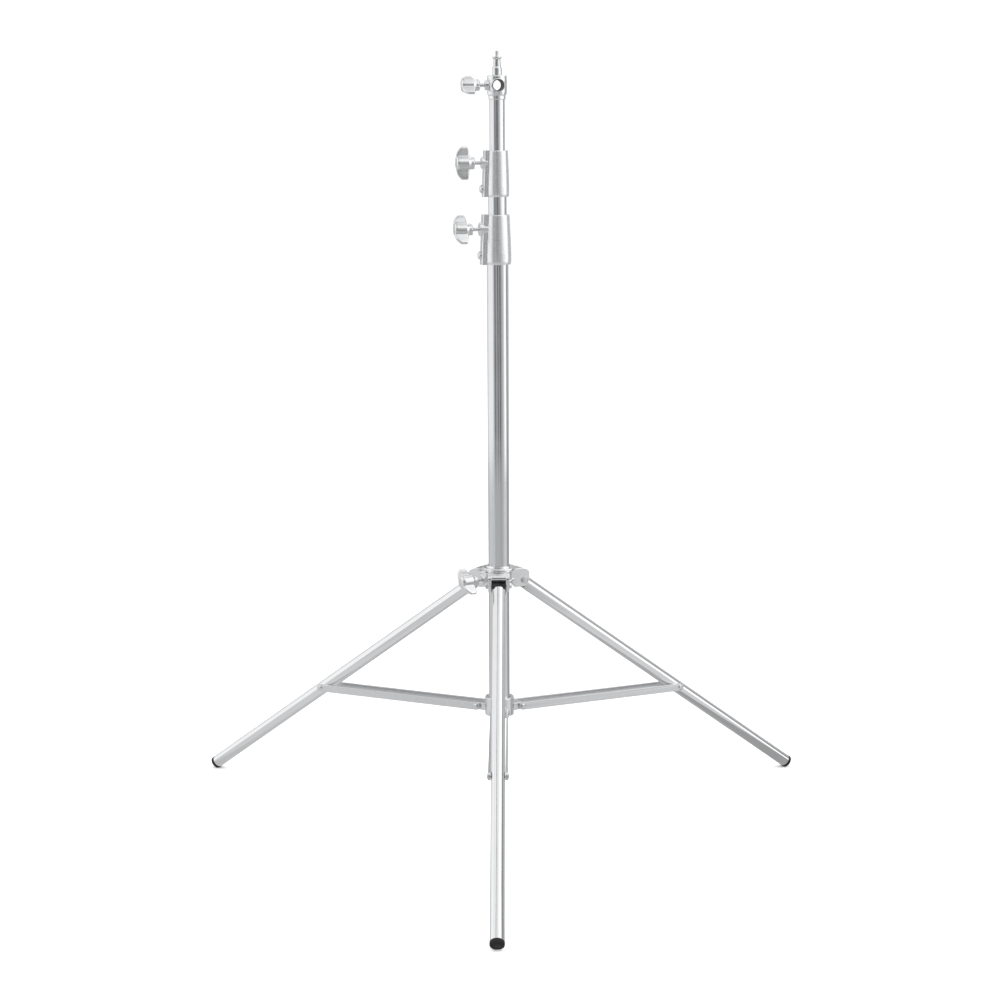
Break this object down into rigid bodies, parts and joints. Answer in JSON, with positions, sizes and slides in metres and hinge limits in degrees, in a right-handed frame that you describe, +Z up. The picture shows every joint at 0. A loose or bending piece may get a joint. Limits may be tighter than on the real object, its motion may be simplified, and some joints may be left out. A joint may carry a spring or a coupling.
{
  "type": "telescopic lighting stand",
  "caption": "Telescopic steel lighting stand with braced folding tripod legs, sliding risers held by wing-knob clamps, and a cast head with a cross socket and a threaded spigot.",
  "frame": {"origin": "on the floor, under the middle of the stand's box; the column's axis stands 148.6 mm behind it", "axes": "+Z up along the column, -Y along the front leg, +X to the right as seen from the front"},
  "size_m": [1.0586, 0.9198, 1.2795],
  "materials": {
    "polished_steel": "bright polished plate on drawn steel tube",
    "satin_cast_alloy": "satin, as cast and barrel-finished",
    "plated_fastener": "bright zinc plate",
    "pressed_steel_strap": "bright rolled and plated strip",
    "black_nylon": "moulded matt black",
    "black_rubber": "matt black"
  },
  "bodies": {
    "column": {"column_tube": "polished_steel", "column_end_cap": "black_nylon", "spreader_collar": "satin_cast_alloy", "spreader_rivet_1": "plated_fastener", "spreader_rivet_2": "plated_fastener", "spreader_rivet_3": "plated_fastener", "lower_collar": "satin_cast_alloy", "lower_brake_pad": "black_nylon", "lower_fixing_screw": "plated_fastener"},
    "middle_section": {"middle_tube": "polished_steel", "middle_tube_guide": "black_nylon", "upper_collar": "satin_cast_alloy", "upper_brake_pad": "black_nylon", "upper_fixing_screw": "plated_fastener"},
    "top_section": {"top_tube": "polished_steel", "top_tube_guide": "black_nylon", "head_casting": "satin_cast_alloy", "spigot": "plated_fastener"},
    "head_clamp": {"head_knob": "satin_cast_alloy", "head_stud": "plated_fastener"},
    "upper_clamp": {"upper_knob": "satin_cast_alloy", "upper_stud": "plated_fastener"},
    "lower_clamp": {"lower_knob": "satin_cast_alloy", "lower_stud": "plated_fastener"},
    "leg_clamp": {"leg_collar_knob": "satin_cast_alloy", "leg_collar_stud": "plated_fastener"},
    "leg_slider": {"leg_collar": "satin_cast_alloy", "leg_collar_brake_pad": "black_nylon", "leg_pivot_bolt_1": "plated_fastener", "leg_pivot_nut_1": "plated_fastener", "leg_pivot_bolt_2": "plated_fastener", "leg_pivot_nut_2": "plated_fastener", "leg_pivot_bolt_3": "plated_fastener", "leg_pivot_nut_3": "plated_fastener"},
    "leg_1": {"leg_tube_1": "polished_steel", "leg_hinge_block_1": "black_nylon", "rubber_foot_1": "black_rubber", "brace_pin_1": "polished_steel"},
    "leg_2": {"leg_tube_2": "polished_steel", "leg_hinge_block_2": "black_nylon", "rubber_foot_2": "black_rubber", "brace_pin_2": "polished_steel"},
    "leg_3": {"leg_tube_3": "polished_steel", "leg_hinge_block_3": "black_nylon", "rubber_foot_3": "black_rubber", "brace_pin_3": "polished_steel"},
    "brace_1": {"brace_strap_1_left": "pressed_steel_strap", "brace_strap_1_right": "pressed_steel_strap", "brace_rivet_head_1_left": "pressed_steel_strap", "brace_rivet_head_1_right": "pressed_steel_strap"},
    "brace_2": {"brace_strap_2_left": "pressed_steel_strap", "brace_strap_2_right": "pressed_steel_strap", "brace_rivet_head_2_left": "pressed_steel_strap", "brace_rivet_head_2_right": "pressed_steel_strap"},
    "brace_3": {"brace_strap_3_left": "pressed_steel_strap", "brace_strap_3_right": "pressed_steel_strap", "brace_rivet_head_3_left": "pressed_steel_strap", "brace_rivet_head_3_right": "pressed_steel_strap"}
  },
  "joints": [
    {"name": "leg_slide", "type": "slide", "parent": "column", "child": "leg_slider", "axis": [0, 0, 1], "range_m": [0, 0.49264]},
    {"name": "middle_slide", "type": "slide", "parent": "column", "child": "middle_section", "axis": [0, 0, 1], "range_m": [-0.027, 0.66]},
    {"name": "top_slide", "type": "slide", "parent": "middle_section", "child": "top_section", "axis": [0, 0, 1], "range_m": [-0.078, 0.64]},
    {"name": "leg_1_hinge", "type": "hinge", "parent": "leg_slider", "child": "leg_1", "pos_m": [0, 0.1096, 0.4123], "axis": [1, 0, 0], "range_deg": [0, 54.51]},
    {"name": "brace_1_hinge", "type": "hinge", "parent": "column", "child": "brace_1", "pos_m": [0, 0.1116, 0.195], "axis": [-1, 0, 0], "range_deg": [0, 91.71]},
    {"name": "leg_2_hinge", "type": "hinge", "parent": "leg_slider", "child": "leg_2", "pos_m": [0.03377, 0.1681, 0.4123], "axis": [-0.5, 0.866, 0], "range_deg": [0, 54.51]},
    {"name": "brace_2_hinge", "type": "hinge", "parent": "column", "child": "brace_2", "pos_m": [0.03204, 0.1671, 0.195], "axis": [0.5, -0.866, 0], "range_deg": [0, 91.71]},
    {"name": "leg_3_hinge", "type": "hinge", "parent": "leg_slider", "child": "leg_3", "pos_m": [-0.03377, 0.1681, 0.4123], "axis": [-0.5, -0.866, 0], "range_deg": [0, 54.51]},
    {"name": "brace_3_hinge", "type": "hinge", "parent": "column", "child": "brace_3", "pos_m": [-0.03204, 0.1671, 0.195], "axis": [0.5, 0.866, 0], "range_deg": [0, 91.71]},
    {"name": "head_knob_turn", "type": "hinge", "parent": "top_section", "child": "head_clamp", "pos_m": [0, 0.1486, 1.2253], "axis": [-0.9903, -0.1392, 0], "range_deg": [-90, 180]},
    {"name": "upper_knob_turn", "type": "hinge", "parent": "middle_section", "child": "upper_clamp", "pos_m": [0, 0.1486, 1.102], "axis": [-0.9744, -0.225, 0], "range_deg": [-90, 180]},
    {"name": "lower_knob_turn", "type": "hinge", "parent": "column", "child": "lower_clamp", "pos_m": [0, 0.1486, 0.9955], "axis": [-0.9744, -0.225, 0], "range_deg": [-90, 180]},
    {"name": "leg_knob_turn", "type": "hinge", "parent": "leg_slider", "child": "leg_clamp", "pos_m": [0, 0.1486, 0.4176], "axis": [-0.866, -0.5, 0], "range_deg": [-90, 180]}
  ],
  "couplings": [
    {"joint": "leg_1_hinge", "follows": "leg_slide", "rad_per_m": 1.9309},
    {"joint": "brace_1_hinge", "follows": "leg_slide", "rad_per_m": 3.2486},
    {"joint": "leg_2_hinge", "follows": "leg_slide", "rad_per_m": 1.9309},
    {"joint": "brace_2_hinge", "follows": "leg_slide", "rad_per_m": 3.2486},
    {"joint": "leg_3_hinge", "follows": "leg_slide", "rad_per_m": 1.9309},
    {"joint": "brace_3_hinge", "follows": "leg_slide", "rad_per_m": 3.2486}
  ]
}
